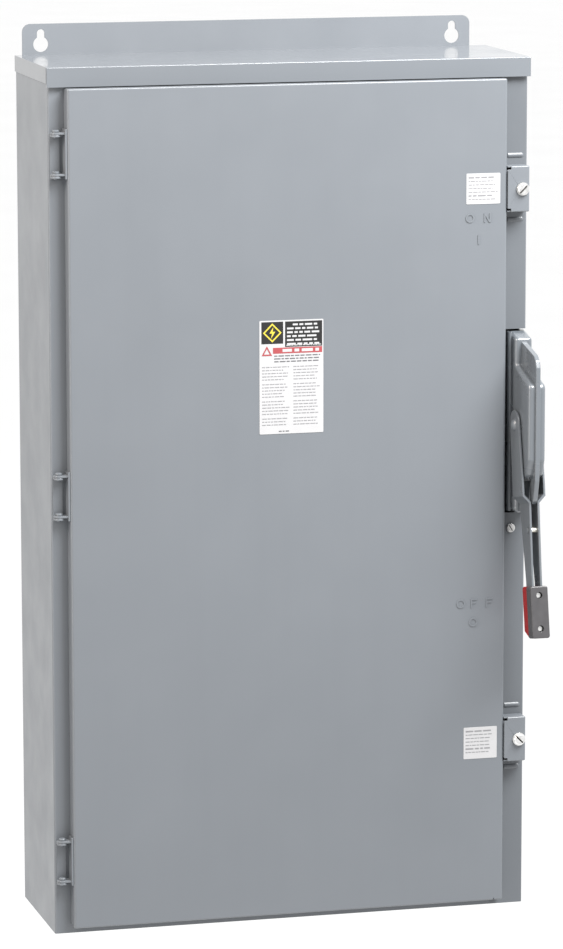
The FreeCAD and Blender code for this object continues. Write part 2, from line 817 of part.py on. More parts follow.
def interlock_lever():
    """The plate whose pin drops behind the door hook when the lever is ON."""
    plate_x0 = 296.5
    plate_x1 = 299.5
    tip_y = lock_pivot_y - lock_reach
    hub = rod_x(11.0, plate_x0, plate_x1, lock_pivot_y, lock_pivot_z)
    bar = block(plate_x0, plate_x1, tip_y, lock_pivot_y, lock_pivot_z - 6, lock_pivot_z + 6)
    tip = rod_x(6.0, plate_x0, plate_x1, tip_y, lock_pivot_z)
    pin = rod_x(3.5, 287.0, plate_x1, tip_y, lock_pivot_z)
    lever = joined(hub, bar, tip, pin)
    lever = lever.cut(rod_x(4.0 + running_gap, plate_x0 - 1, plate_x1 + 1,
                            lock_pivot_y, lock_pivot_z))
    return turned_x(lever, -lock_throw, lock_pivot_y, lock_pivot_z)


# ---- the switch: crossbar, blades, jaws and bases ---------------------------
def blade_blank(x, extra=0.0):
    half = blade_plate / 2
    blank = block(x - half, x + half, rotor_y - blade_half_width, rotor_y + blade_half_width,
                  rotor_z - blade_reach - extra, rotor_z + blade_reach + extra)
    return turned_x(blank, blade_throw, rotor_y, rotor_z)


def switch_blade(x):
    """A copper blade that bridges two jaws, with its ends eased."""
    blank = blade_blank(x)
    along = Vector(0, -math.sin(math.radians(blade_throw)), math.cos(math.radians(blade_throw)))
    centre = Vector(x, rotor_y, rotor_z)
    return rounded(blank, 5.0, along_x, lambda p: abs(p.sub(centre).dot(along)) > blade_reach - 1)


def crossbar():
    """The insulating bar that carries the blades, on its own end shafts."""
    half = 22.0
    reach = base_half_width - 25
    bar = block(-reach, reach, rotor_y - half, rotor_y + half, rotor_z - half, rotor_z + half)
    bar = rounded(bar, 4.0, along_x, lambda p: True)
    bar = turned_x(bar, blade_throw, rotor_y, rotor_z)
    collars = [rod_x(30.0, x - 14, x + 14, rotor_y, rotor_z) for x in pole_places]
    slots = [blade_blank(x, 1.0) for x in pole_places]
    ends = [rod_x(shaft_radius, -base_half_width - 14, -reach, rotor_y, rotor_z),
            rod_x(shaft_radius, reach, 298.0, rotor_y, rotor_z)]
    return joined(bar, *(collars + ends)).cut(slots)


def crossbar_bearing(x):
    """A post from the back panel with the crossbar's bearing in it."""
    post = block(x - 4, x + 4, rotor_y, -sheet - 3, rotor_z - 22, rotor_z + 22)
    eye = rod_x(22.0, x - 4, x + 4, rotor_y, rotor_z)
    foot = block(x - 4, x + 24 if x > 0 else x + 4, -sheet - 3, -sheet, rotor_z - 22, rotor_z + 22)
    if x < 0:
        foot = block(x - 24, x + 4, -sheet - 3, -sheet, rotor_z - 22, rotor_z + 22)
    bore = rod_x(shaft_radius + running_gap, x - 5, x + 5, rotor_y, rotor_z)
    return joined(post, eye, foot).cut(bore)


line_base_front = -90.0
line_base_low = 132.0
line_base_high = 320.0
load_top = -14.0
load_front = -150.0
load_step = -60.0
lower_base_low = -480.0
lower_base_high = -325.0


def base_block(y_front, z0, z1):
    """A moulded insulating block with ribs between the poles."""
    base = block(-base_half_width, base_half_width, y_front, -sheet - 2, z0, z1)
    ribs = []
    for x in (-pole_pitch / 2, pole_pitch / 2):
        ribs.append(block(x - 4, x + 4, y_front - 30, y_front, z0, z1))
    return joined(rounded(base, 3.0, along_x, lambda p: p.y < y_front + 0.1), *ribs)


def line_base():
    return base_block(line_base_front, line_base_low, line_base_high)


def load_base():
    upper = block(-base_half_width, base_half_width, load_front, -sheet - 2, -75, load_top)
    upper = rounded(upper, 3.0, along_x, lambda p: p.y < load_front + 0.1)
    lower = block(-base_half_width, base_half_width, load_step, -sheet - 2, -140, -75)
    return joined(upper, lower)


def lower_base():
    return base_block(load_step, lower_base_low, lower_base_high)


def leaf_pair(x, gap, y0, y1, z0, z1):
    """Two spring leaves either side of a blade, rounded at the mouth."""
    leaves = []
    for side in (-1, 1):
        x0, x1 = sorted((x + side * gap, x + side * (gap + leaf_plate)))
        leaf = block(x0, x1, y0, y1, z0, z1)
        leaves.append(rounded(leaf, 4.0, along_x, lambda p: p.y < y0 + 0.1))
    return leaves


def line_jaw(x):
    gap = blade_plate / 2 + contact_gap
    bus = block(x - 16, x + 16, line_base_front - 4, line_base_front, 140, 312)
    return joined(bus, *leaf_pair(x, gap, -142, line_base_front - 3, 142, 172))


def load_jaw(x):
    gap = blade_plate / 2 + contact_gap
    floor = block(x - 16, x + 16, load_front - 4, -96, load_top, load_top + 4)
    apron = block(x - 16, x + 16, load_front - 4, load_front, -72, load_top)
    return joined(floor, apron, *leaf_pair(x, gap, -140, -100, load_top + 3, 26))


def fuse_clip(x, z_bus0, z_bus1, z0, z1):
    gap = fuse_blade_plate / 2
    bus = block(x - 18, x + 18, load_step - 4, load_step, z_bus0, z_bus1)
    y0 = fuse_axis_y - fuse_blade_width / 2 - 4
    return joined(bus, *leaf_pair(x, gap, y0, load_step - 3, z0, z1))


def upper_clip(x):
    return fuse_clip(x, -138, -77, fuse_top - 38, fuse_top - 4)


def lower_clip(x):
    return fuse_clip(x, -470, -330, fuse_bottom + 4, fuse_bottom + 38)


def fuse_body(x):
    top = fuse_top - fuse_blade_length
    low = fuse_bottom + fuse_blade_length
    return rod_z(fuse_radius, x, fuse_axis_y, low + 32, top - 32)


def fuse_caps(x):
    top = fuse_top - fuse_blade_length
    low = fuse_bottom + fuse_blade_length
    return [rod_z(fuse_cap_radius, x, fuse_axis_y, top - 32, top),
            rod_z(fuse_cap_radius, x, fuse_axis_y, low, low + 32)]


def fuse_blades(x):
    half = fuse_blade_plate / 2
    wide = fuse_blade_width / 2
    blades = []
    for z0 in (fuse_bottom, fuse_top - fuse_blade_length):
        blade = block(x - half, x + half, fuse_axis_y - wide, fuse_axis_y + wide,
                      z0, z0 + fuse_blade_length)
        outer = z0 if z0 == fuse_bottom else z0 + fuse_blade_length
        blades.append(rounded(blade, 6.0, along_x, lambda p: abs(p.z - outer) < 0.1))
    return blades


def lug(x, y_back, z0, z1):
    """A wire lug: an aluminium block bored for the cable, with a screw hole."""
    y_front = y_back - 42
    body = block(x - 20, x + 20, y_front, y_back, z0, z1)
    body = rounded(body, 4.0, along_z, lambda p: p.y < y_front + 0.1)
    bore = rod_z(wire_bore_radius, x, y_back - 19, z0 - 1, z1 + 1)
    thread = rod_y(6.5, x, y_front - 1, y_back - 19, (z0 + z1) / 2)
    return body.cut([bore, thread])


def lug_screw(x, y_back, z):
    """A set screw with a hexagon socket, run most of the way out."""
    y_front = y_back - 42
    body = rod_y(6.5, x, y_front - 4, y_back - 19 - wire_bore_radius - 0.5, z)
    corner = 3.6 / math.cos(math.radians(30))
    points = []
    for step in range(6):
        angle = math.radians(60 * step)
        points.append(Vector(x + corner * math.cos(angle), y_front - 5,
                             z + corner * math.sin(angle)))
    return body.cut(face_of(points).extrude(Vector(0, 6, 0)))


line_lug_z = (246.0, 302.0)
load_lug_z = (-456.0, -400.0)


def arc_fins(x):
    """Split steel plates fanned along the path of the blade's two ends."""
    fins = []
    for side, reach in ((1, 104.0), (-1, 93.0)):
        for step in range(6):
            z0, z1 = sorted((rotor_z + side * 62, rotor_z + side * reach))
            fin = block(x - 17, x + 17, rotor_y - 0.75, rotor_y + 0.75, z0, z1)
            slot_z = rotor_z + side * (blade_reach + 6)
            s0, s1 = sorted((rotor_z + side * 60, slot_z))
            fin = fin.cut(block(x - 8, x + 8, rotor_y - 2, rotor_y + 2, s0, s1))
            fins.append(turned_x(fin, 16 + 6 * step, rotor_y, rotor_z))
    return fins


def arc_sides(x):
    """Fibre cheeks that hold the fins of one pole."""
    sides = []
    for side in (-1, 1):
        x0, x1 = sorted((x + side * 17, x + side * 19))
        high = [(-126, 134), (-40, 134), (-38, 176), (-60, 194), (-118, 192), (-126, 176)]
        sides.append(plate_x(high, x0, x1))
        low = [(-100, load_top), (-172, load_top), (-172, 32), (-160, 46), (-100, 16)]
        sides.append(plate_x(low, x0, x1))
    return sides


def line_shield():
    """A clear sheet bent over the line lugs."""
    z0 = 205.0
    z1 = 332.0
    y0 = -176.0
    x1 = base_half_width + 2.2
    front = block(-x1, x1, y0, y0 + 2, z0, z1)
    legs = []
    for side in (-1, 1):
        a, b = sorted((side * x1, side * (x1 - 2)))
        legs.append(block(a, b, y0, -40, z0, z1))
    return joined(front, *legs)


# ---- grounding and small hardware -------------------------------------------
ground_x = -280.0
ground_z = -520.0


def ground_bar():
    bar = block(ground_x - 45, ground_x + 45, -sheet - 16, -sheet, ground_z - 9, ground_z + 9)
    holes = []
    for place in (-30, -10, 10, 30):
        holes.append(rod_z(4.5, ground_x + place, -sheet - 8, ground_z - 10, ground_z + 10))
    return bar.cut(holes)


def ground_screws():
    screws = []
    for place in (-30, -10, 10, 30):
        x = ground_x + place
        body = rod_y(3.0, x, -sheet - 21, -sheet - 16, ground_z)
        head = rod_y(5.0, x, -sheet - 24, -sheet - 21, ground_z)
        slot = block(x - 6, x + 6, -sheet - 25, -sheet - 22.5, ground_z - 0.7, ground_z + 0.7)
        screws.append(joined(body, head).cut(slot))
    return screws


def ground_lug():
    x = ground_x + 74
    body = block(x - 14, x + 14, -sheet - 30, -sheet, ground_z - 20, ground_z + 16)
    bore = rod_z(7.0, x, -sheet - 15, ground_z - 21, ground_z + 17)
    return body.cut(bore)


def base_screws():
    """Round-head screws that hold the three bases to the back panel."""
    screws = []
    places = ((line_base_front, 152), (line_base_front, 300),
              (load_step, lower_base_low + 14), (load_step, lower_base_high - 14))
    for y, z in places:
        for x in (-base_half_width + 14, base_half_width - 14):
            head = rod_y(6.0, x, y - 3.5, y, z)
            slot = block(x - 7, x + 7, y - 4, y - 2.2, z - 0.8, z + 0.8)
            screws.append(head.cut(slot))
    return screws


def build():
    save("back_panel", back_panel())
    save("left_side_panel", left_side_panel())
    save("right_side_panel", right_side_panel())
    save("top_wall", end_wall(wall_top, strip_top, 1))
    save("bottom_wall", end_wall(-half_height, strip_bottom, -1))
    save("rain_hood", rain_hood())
    save("hinge_ears", *[hinge_ears(z) for z in hinge_heights])
    save("hinge_pins", *[pin for z in hinge_heights for pin in hinge_pins(z)])
    save("latch_nuts", *[latch_nut(z) for z in latch_heights])

    save("door", door())
    save("door_stiffeners", *door_stiffeners())
    save("hinge_straps", *[hinge_strap(z) for z in hinge_heights])
    save("latch_brackets", *[latch_bracket(z) for z in latch_heights])
    save("door_hook", door_hook())
    save("nameplate", label(-52, 42, 95, 258))
    save("latch_labels", label(253.5, 304, 415, 459), label(253.5, 304, -397, -350))
    save("wiring_label", wiring_label())
    save("upper_latch_bolt", latch_bolt(latch_heights[0], -45))
    save("lower_latch_bolt", latch_bolt(latch_heights[1], 45))
    save("release_screw", release_screw())

    save("handle_housing", handle_housing())
    save("handle_baffle", handle_baffle())
    save("left_lever_arm", lever_arm(-1))
    save("right_lever_arm", lever_arm(1))
    save("pivot_bolt", pivot_bolt())
    save("cross_pin", cross_pin())
    save("grip_front", grip_front())
    save("grip_rear", grip_rear())
    save("grip_screws", *[grip_screw(place) for place in grip_screw_places])
    save("handle_crank", handle_crank())
    save("drive_link", drive_link())

    save("mechanism_frame", mechanism_frame())
    save("throw_crank", throw_crank())
    save("toggle_spring", *toggle_spring())
    save("interlock_lever", interlock_lever())
    save("crossbar", crossbar())
    save("crossbar_bearings", *[crossbar_bearing(x) for x in (-222.0, 222.0)])
    save("switch_blades", *[switch_blade(x) for x in pole_places])
    save("line_base", line_base())
    save("load_base", load_base())
    save("lower_base", lower_base())
    save("line_jaws", *[line_jaw(x) for x in pole_places])
    save("load_jaws", *[load_jaw(x) for x in pole_places])
    save("upper_fuse_clips", *[upper_clip(x) for x in pole_places])
    save("lower_fuse_clips", *[lower_clip(x) for x in pole_places])
    save("fuse_bodies", *[fuse_body(x) for x in pole_places])
    save("fuse_caps", *[cap for x in pole_places for cap in fuse_caps(x)])
    save("fuse_blades", *[blade for x in pole_places for blade in fuse_blades(x)])
    save("line_lugs", *[lug(x, line_base_front - 4, *line_lug_z) for x in pole_places])
    save("load_lugs", *[lug(x, load_step - 4, *load_lug_z) for x in pole_places])
    line_screw_z = sum(line_lug_z) / 2
    load_screw_z = sum(load_lug_z) / 2
    save("line_lug_screws", *[lug_screw(x, line_base_front - 4, line_screw_z) for x in pole_places])
    save("load_lug_screws", *[lug_screw(x, load_step - 4, load_screw_z) for x in pole_places])
    save("arc_fins", *[fin for x in pole_places for fin in arc_fins(x)])
    save("arc_chute_sides", *[side for x in pole_places for side in arc_sides(x)])
    save("line_shield", line_shield())
    save("ground_bar", ground_bar())
    save("ground_screws", *ground_screws())
    save("ground_lug", ground_lug())
    save("base_screws", *base_screws())


os.makedirs("parts", exist_ok=True)
build()
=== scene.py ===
import math
import random

import bmesh
import bpy
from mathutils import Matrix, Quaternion, Vector


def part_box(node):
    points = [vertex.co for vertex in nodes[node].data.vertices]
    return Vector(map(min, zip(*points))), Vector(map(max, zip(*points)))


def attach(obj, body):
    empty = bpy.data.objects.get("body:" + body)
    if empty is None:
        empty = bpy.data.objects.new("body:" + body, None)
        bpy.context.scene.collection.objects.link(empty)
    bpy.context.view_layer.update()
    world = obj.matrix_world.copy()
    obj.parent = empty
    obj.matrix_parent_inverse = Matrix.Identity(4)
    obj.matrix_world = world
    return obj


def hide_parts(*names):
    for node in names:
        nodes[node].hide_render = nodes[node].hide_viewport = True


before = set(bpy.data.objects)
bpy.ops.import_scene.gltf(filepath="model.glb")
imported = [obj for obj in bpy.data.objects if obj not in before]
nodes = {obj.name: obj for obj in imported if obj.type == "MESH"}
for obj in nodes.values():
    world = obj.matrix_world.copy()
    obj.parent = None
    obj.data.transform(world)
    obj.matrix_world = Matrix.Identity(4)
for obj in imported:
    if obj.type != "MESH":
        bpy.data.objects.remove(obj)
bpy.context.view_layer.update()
MM = 0.001

# ---- stage and camera settings, in metres, degrees and watts -----------------
FLOOR_Z = -3.2
FLOOR_SIZE = 90.0
FLOOR_WHITE = (0.925, 0.94)
SKY_STRENGTH = 1.06
WARM_HIGH = (1.0, 0.88, 0.78)
WARM_STRIP = (1.0, 0.96, 0.92)
CAMERA_YAW = 14.674
CAMERA_PITCH = 9.693
CAMERA_ROLL = 0.08
CAMERA_DISTANCE = 6.991
CAMERA_TARGET = Vector((0.0425, 0.0, -0.006))
CAMERA_LENS = 179.26

# ---- sizes of surface detail: noise scales per metre and bump depths in metres --
CLOUD_SCALE = 2.4
RUN_SCALE = 34.0
RUN_STRETCH = (1.0, 1.0, 0.06)
SPECK_SCALE = 420.0
SCUFF_SCALE = 9.0
SCUFF_STRETCH = (3.0, 3.0, 40.0)
GLOSS_SCALE = 14.0
PEEL_SCALE = 520.0
PEEL_DEPTH = 0.0004
STAIN_SCALE = 60.0
GRAIN_SCALE = 900.0
FINE_DEPTH = 0.0002
FLOW_SCALE = 22.0
SPARK_DEPTH = 0.0003
SHARP_ANGLE = math.radians(32)
BEVEL_ANGLE = math.radians(38)


# ---- node helpers -----------------------------------------------------------
def new_material(name):
    """A material with its node tree and its one shader."""
    material = bpy.data.materials.new(name)
    material.use_nodes = True
    tree = material.node_tree
    shader = tree.nodes["Principled BSDF"]
    return material, tree, shader


def coordinates(tree, stretch=(1, 1, 1)):
    place = tree.nodes.new("ShaderNodeTexCoord")
    mapping = tree.nodes.new("ShaderNodeMapping")
    mapping.inputs["Scale"].default_value = stretch
    tree.links.new(place.outputs["Object"], mapping.inputs["Vector"])
    return mapping.outputs["Vector"]


def noise(tree, vector, scale, detail=2.0, roughness=0.5):
    texture = tree.nodes.new("ShaderNodeTexNoise")
    texture.inputs["Scale"].default_value = scale
    texture.inputs["Detail"].default_value = detail
    texture.inputs["Roughness"].default_value = roughness
    tree.links.new(vector, texture.inputs["Vector"])
    return texture.outputs["Fac"]


def ramp(tree, value, stops):
    """A colour ramp; each stop is a place and a colour or a grey level."""
    node = tree.nodes.new("ShaderNodeValToRGB")
    elements = node.color_ramp.elements
    while len(elements) < len(stops):
        elements.new(0.5)
    for element, (place, colour) in zip(elements, stops):
        element.position = place
        level = (colour,) * 3 if isinstance(colour, float) else colour
        element.color = (*level, 1.0)
    tree.links.new(value, node.inputs["Fac"])
    return node.outputs["Color"]


def mix(tree, first, second, fac):
    node = tree.nodes.new("ShaderNodeMix")
    node.data_type = "RGBA"
    for socket, value in (("Factor", fac), ("A", first), ("B", second)):
        target = next(s for s in node.inputs if s.name == socket and s.enabled)
        if isinstance(value, bpy.types.NodeSocket):
            tree.links.new(value, target)
        else:
            target.default_value = (*value, 1.0)
    return next(s for s in node.outputs if s.name == "Result" and s.enabled)


def bump(tree, shader, height, strength, distance):
    node = tree.nodes.new("ShaderNodeBump")
    node.inputs["Strength"].default_value = strength
    node.inputs["Distance"].default_value = distance
    tree.links.new(height, node.inputs["Height"])
    tree.links.new(node.outputs["Normal"], shader.inputs["Normal"])


def shade(colour, factor):
    return tuple(min(1.0, c * factor) for c in colour)


# ---- materials --------------------------------------------------------------
def paint(name, colour, rough, cloud=0.04, peel=0.06, coat=0.0):
    """Baked enamel: clouding, faint run marks, dust, light scuffs and orange peel."""
    material, tree, shader = new_material(name)
    vector = coordinates(tree)
    clouds = ramp(tree, noise(tree, vector, CLOUD_SCALE, 3.0),
                  [(0.3, shade(colour, 1 - cloud)), (0.7, shade(colour, 1 + cloud))])
    runs = ramp(tree, noise(tree, coordinates(tree, RUN_STRETCH), RUN_SCALE, 3.0),
                [(0.48, 0.0), (0.75, 0.10)])
    run_tint = mix(tree, clouds, shade(colour, 0.84), runs)
    specks = ramp(tree, noise(tree, vector, SPECK_SCALE, 1.0), [(0.70, 0.0), (0.78, 0.18)])
    dusty = mix(tree, run_tint, shade(colour, 0.75), specks)
    scuffs = ramp(tree, noise(tree, coordinates(tree, SCUFF_STRETCH), SCUFF_SCALE, 5.0, 0.7),
                  [(0.70, 0.0), (0.735, 0.16), (0.76, 0.0)])
    colour_out = mix(tree, dusty, shade(colour, 1.5), scuffs)
    tree.links.new(colour_out, shader.inputs["Base Color"])
    gloss = ramp(tree, noise(tree, vector, GLOSS_SCALE, 3.0),
                 [(0.3, rough - 0.05), (0.7, rough + 0.06)])
    tree.links.new(gloss, shader.inputs["Roughness"])
    bump(tree, shader, noise(tree, vector, PEEL_SCALE, 2.0), peel, PEEL_DEPTH)
    shader.inputs["Coat Weight"].default_value = coat
    shader.inputs["Coat Roughness"].default_value = 0.12
    return material


def metal(name, colour, rough, grain=(1, 1, 1), stain=None, scratch=0.08):
    """Plated or bare metal with drawn grain and faint staining."""
    material, tree, shader = new_material(name)
    vector = coordinates(tree, grain)
    patches = noise(tree, vector, STAIN_SCALE, 4.0, 0.6)
    colour_out = ramp(tree, patches, [(0.3, stain or shade(colour, 0.82)), (0.65, colour)])
    tree.links.new(colour_out, shader.inputs["Base Color"])
    shader.inputs["Metallic"].default_value = 1.0
    gloss = ramp(tree, noise(tree, vector, 180.0, 3.0), [(0.3, rough - 0.07), (0.7, rough + 0.1)])
    tree.links.new(gloss, shader.inputs["Roughness"])
    bump(tree, shader, noise(tree, vector, GRAIN_SCALE, 2.0), scratch, FINE_DEPTH)
    return material


def plastic(name, colour, rough, texture=0.12, scale=1400.0, cloud=0.08, gleam=0.5):
    """Moulded plastic: a fine spark-eroded texture and slight flow marks."""
    material, tree, shader = new_material(name)
    vector = coordinates(tree)
    flow = ramp(tree, noise(tree, vector, FLOW_SCALE, 4.0, 0.55),
                [(0.3, shade(colour, 1 - cloud)), (0.7, shade(colour, 1 + cloud))])
    tree.links.new(flow, shader.inputs["Base Color"])
    gloss = ramp(tree, noise(tree, vector, 120.0, 2.0), [(0.3, rough - 0.06), (0.7, rough + 0.06)])
    tree.links.new(gloss, shader.inputs["Roughness"])
    shader.inputs["Specular IOR Level"].default_value = gleam
    bump(tree, shader, noise(tree, vector, scale, 1.0), texture, SPARK_DEPTH)
    return material


def film(name, colour, rough=0.35):
    """A printed or plain label film, very slightly mottled."""
    material, tree, shader = new_material(name)
    vector = coordinates(tree)
    tone = ramp(tree, noise(tree, vector, 90.0, 3.0),
                [(0.3, shade(colour, 0.96)), (0.7, shade(colour, 1.0))])
    tree.links.new(tone, shader.inputs["Base Color"])
    shader.inputs["Roughness"].default_value = rough
    bump(tree, shader, noise(tree, vector, 300.0, 1.0), 0.03, FINE_DEPTH)
    return material


def tube_fibre(name, colour):
    """Wound fibre tube: fine turns round the tube under a satin varnish."""
    material, tree, shader = new_material(name)
    vector = coordinates(tree, (1, 1, 14))
    turns = noise(tree, vector, 60.0, 3.0, 0.6)
    tone = ramp(tree, turns, [(0.35, shade(colour, 0.86)), (0.65, colour)])
    tree.links.new(tone, shader.inputs["Base Color"])
    shader.inputs["Roughness"].default_value = 0.42
    bump(tree, shader, turns, 0.1, 0.0004)
    return material


def clear_sheet(name):
    """A clear plastic sheet with a slight wave, shown by its transparency."""
    material, tree, shader = new_material(name)
    vector = coordinates(tree)
    tone = ramp(tree, noise(tree, vector, 8.0, 2.0),
                [(0.3, (0.30, 0.32, 0.33)), (0.7, (0.36, 0.38, 0.39))])
    tree.links.new(tone, shader.inputs["Base Color"])
    shader.inputs["Roughness"].default_value = 0.06
    shader.inputs["Alpha"].default_value = 0.16
    bump(tree, shader, noise(tree, vector, 60.0, 2.0), 0.03, 0.0005)
    return material


CASE = (0.101, 0.110, 0.121)
MAT = {
    "case": paint("case_enamel", shade(CASE, 1.05), 0.36),
    "door": paint("door_enamel", shade(CASE, 1.0), 0.34, cloud=0.03),
    "hood": paint("hood_enamel", shade(CASE, 1.0), 0.17, cloud=0.03, peel=0.03, coat=0.2),
    # The front strip right of the door takes the case colour darkened to 0.80: painted shade
    # standing in for the shade the strip lies in, not a darker paint.
    "strip": paint("strip_painted_shade_enamel", shade(CASE, 0.80), 0.38),
    "housing": paint("cast_cover_enamel", (0.083, 0.092, 0.102), 0.26, cloud=0.05, peel=0.08,
                     coat=0.45),
    "arm": paint("lever_enamel", (0.084, 0.093, 0.103), 0.32, cloud=0.06, peel=0.06, coat=0.25),
    "zinc": metal("zinc_plate", (0.74, 0.73, 0.68), 0.34, stain=(0.60, 0.58, 0.50)),
    "bolt": metal("bright_zinc_bolt", (0.80, 0.80, 0.795), 0.30, stain=(0.55, 0.55, 0.54)),
    "spring": metal("spring_steel", (0.42, 0.42, 0.44), 0.32),
    "fin": metal("arc_fin_steel", (0.50, 0.50, 0.50), 0.42, (1, 8, 1)),
    "copper": metal("copper_bar", (0.80, 0.42, 0.26), 0.30, (1, 1, 6), (0.56, 0.27, 0.17)),
    "brass": metal("brass_cap", (0.78, 0.60, 0.30), 0.32, (1, 1, 8), (0.60, 0.44, 0.22)),
    "lug": metal("tinned_aluminium", (0.83, 0.83, 0.82), 0.38, (6, 1, 1)),
    "screw": metal("plain_screw_steel", (0.52, 0.52, 0.54), 0.30),
    "tube": tube_fibre("fuse_tube_fibre", (0.42, 0.38, 0.30)),
    "base": plastic("base_moulding", (0.028, 0.028, 0.030), 0.46),
    "bar": plastic("crossbar_moulding", (0.20, 0.020, 0.015), 0.42),
    "fibre": plastic("fibre_board", (0.19, 0.17, 0.15), 0.7, 0.2, 600.0, 0.15),
    "baffle": plastic("baffle_board", (0.006, 0.006, 0.007), 0.8, 0.2, 700.0, gleam=0.15),
    "black_grip": plastic("grip_black", (0.034, 0.033, 0.035), 0.36, 0.10, 1100.0),
    "red_grip": plastic("grip_red", (0.185, 0.006, 0.006), 0.42, 0.10, 1100.0, gleam=0.2),
    # Near-black sheet material for the screw slots: painted shade standing in for the shade on the
    # slot floors.
    "dirt": plastic("painted_shade_slot_floor", (0.030, 0.028, 0.026), 0.8, 0.2, 700.0, gleam=0.15),
    "white": film("label_white", (0.305, 0.305, 0.310)),
    "ink": film("label_black", (0.006, 0.006, 0.006)),
    "cream": film("fuse_label_paper", (0.50, 0.48, 0.41), 0.5),
    "grey_ink": film("label_grey", (0.150, 0.150, 0.156)),
    "dark_ink": film("label_dark_grey", (0.075, 0.075, 0.080)),
    "red_ink": film("label_red", (0.215, 0.036, 0.040)),
    "yellow_ink": film("label_yellow", (0.38, 0.31, 0.03)),
    "clear": clear_sheet("clear_cover"),
}

NODE_LOOK = {
    "case": ["back_panel", "left_side_panel", "top_wall", "bottom_wall", "hinge_ears"],
    "hood": ["rain_hood"],
    "strip": ["right_side_panel"],
    "door": ["door", "door_stiffeners", "hinge_straps", "latch_brackets"],
    "housing": ["handle_housing"],
    "arm": ["left_lever_arm", "right_lever_arm", "pivot_bolt", "hinge_pins"],
    "zinc": ["latch_nuts", "handle_crank", "drive_link", "mechanism_frame", "throw_crank",
             "interlock_lever", "door_hook", "crossbar_bearings", "cross_pin"],
    "bolt": ["upper_latch_bolt", "lower_latch_bolt", "release_screw", "grip_screws"],
    "screw": ["line_lug_screws", "load_lug_screws", "ground_screws", "base_screws"],
    "spring": ["toggle_spring"],
    "fin": ["arc_fins"],
    "copper": ["switch_blades", "line_jaws", "load_jaws", "upper_fuse_clips",
               "lower_fuse_clips", "fuse_blades"],
    "brass": ["fuse_caps"],
    "tube": ["fuse_bodies"],
    "base": ["line_base", "load_base", "lower_base"],
    "bar": ["crossbar"],
    "fibre": ["arc_chute_sides"],
    "baffle": ["handle_baffle"],
    "lug": ["line_lugs", "load_lugs", "ground_lug", "ground_bar"],
    "clear": ["line_shield"],
    "black_grip": ["grip_front"],
    "red_grip": ["grip_rear"],
    "white": ["nameplate", "latch_labels", "wiring_label"],
}

# Edge rounding in millimetres on the nodes whose arrises catch the light.
SOFT_EDGES = {
    "grip_front": 0.9, "grip_rear": 0.9, "left_lever_arm": 0.45, "right_lever_arm": 0.45,
    "handle_housing": 0.8, "latch_brackets": 0.5, "hinge_straps": 0.5, "hinge_ears": 0.5,
    "line_base": 0.8, "load_base": 0.8, "lower_base": 0.8, "crossbar": 0.8, "line_lugs": 0.6,
    "load_lugs": 0.6, "ground_lug": 0.6, "ground_bar": 0.6, "mechanism_frame": 0.4,
    "upper_latch_bolt": 0.3, "lower_latch_bolt": 0.3, "release_screw": 0.3, "fuse_caps": 0.8,
    "rain_hood": 0.3, "switch_blades": 0.5, "drive_link": 0.4, "throw_crank": 0.4,
    "handle_crank": 0.4, "interlock_lever": 0.4, "pivot_bolt": 0.4, "hinge_pins": 0.3,
}


def dress_nodes():
    """Give every CAD node its material and smooth its round faces."""
    for look, names in NODE_LOOK.items():
        for name in names:
            mesh = nodes[name].data
            mesh.materials.clear()
            mesh.materials.append(MAT[look])
            mesh.shade_smooth()
            mesh.set_sharp_from_angle(angle=SHARP_ANGLE)


def soften_nodes():
    """Round the sharp edges that would catch the light."""
    for name, width in SOFT_EDGES.items():
        weld = nodes[name].modifiers.new("weld", "WELD")
        weld.merge_threshold = 0.00001
        bevel = nodes[name].modifiers.new("arris", "BEVEL")
        bevel.width = width * MM
        bevel.segments = 2
        bevel.limit_method = "ANGLE"
        bevel.angle_limit = BEVEL_ANGLE
        bevel.use_clamp_overlap = True
        normals = nodes[name].modifiers.new("normals", "WEIGHTED_NORMAL")
        normals.keep_sharp = False


# ---- piece helpers ----------------------------------------------------------
def piece(name, mesh_maker, look, body):
    """Make one visual piece that rides on a body."""
    builder = bmesh.new()
    mesh_maker(builder)
    bmesh.ops.recalc_face_normals(builder, faces=builder.faces)
    mesh = bpy.data.meshes.new(name)
    builder.to_mesh(mesh)
    builder.free()
    looks = look if isinstance(look, (list, tuple)) else [look]
    for item in looks:
        mesh.materials.append(MAT[item])
    shown = bpy.data.objects.new(name, mesh)
    bpy.context.scene.collection.objects.link(shown)
    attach(shown, body)
    return shown


def slab(builder, low, high, index=0):
    """A thin box between two corners, with a material index."""
    made = bmesh.ops.create_cube(builder, size=1.0)
    middle = (Vector(low) + Vector(high)) / 2
    size = Vector(high) - Vector(low)
    bmesh.ops.scale(builder, vec=size, verts=made["verts"])
    bmesh.ops.translate(builder, vec=middle, verts=made["verts"])
    for face in {f for v in made["verts"] for f in v.link_faces}:
        face.material_index = index


WORD_LENGTHS = (1.6, 5.5)
WORD_GAP = 0.9


def words(builder, rng, x0, x1, z, height, y, depth, index, fill=1.0):
    """A line of unreadable print: short bars with gaps between them."""
    x = x0
    end = x0 + (x1 - x0) * fill
    while x < end - height:
        length = min(rng.uniform(*WORD_LENGTHS) * height, end - x)
        slab(builder, (x, y - depth, z - height / 2), (x + length, y, z + height / 2), index)
        x += length + WORD_GAP * height


# ---- labels -----------------------------------------------------------------
INK = 0.12 * MM
MARK_LIFTS = (2.4, 0.5)
PRINT_COLUMNS = (0.04, 0.53)
PRINT_ROWS = 18
PRINT_PITCH = 0.0275
PARAGRAPH_ROWS = 5
PARAGRAPH_GAP = 0.014


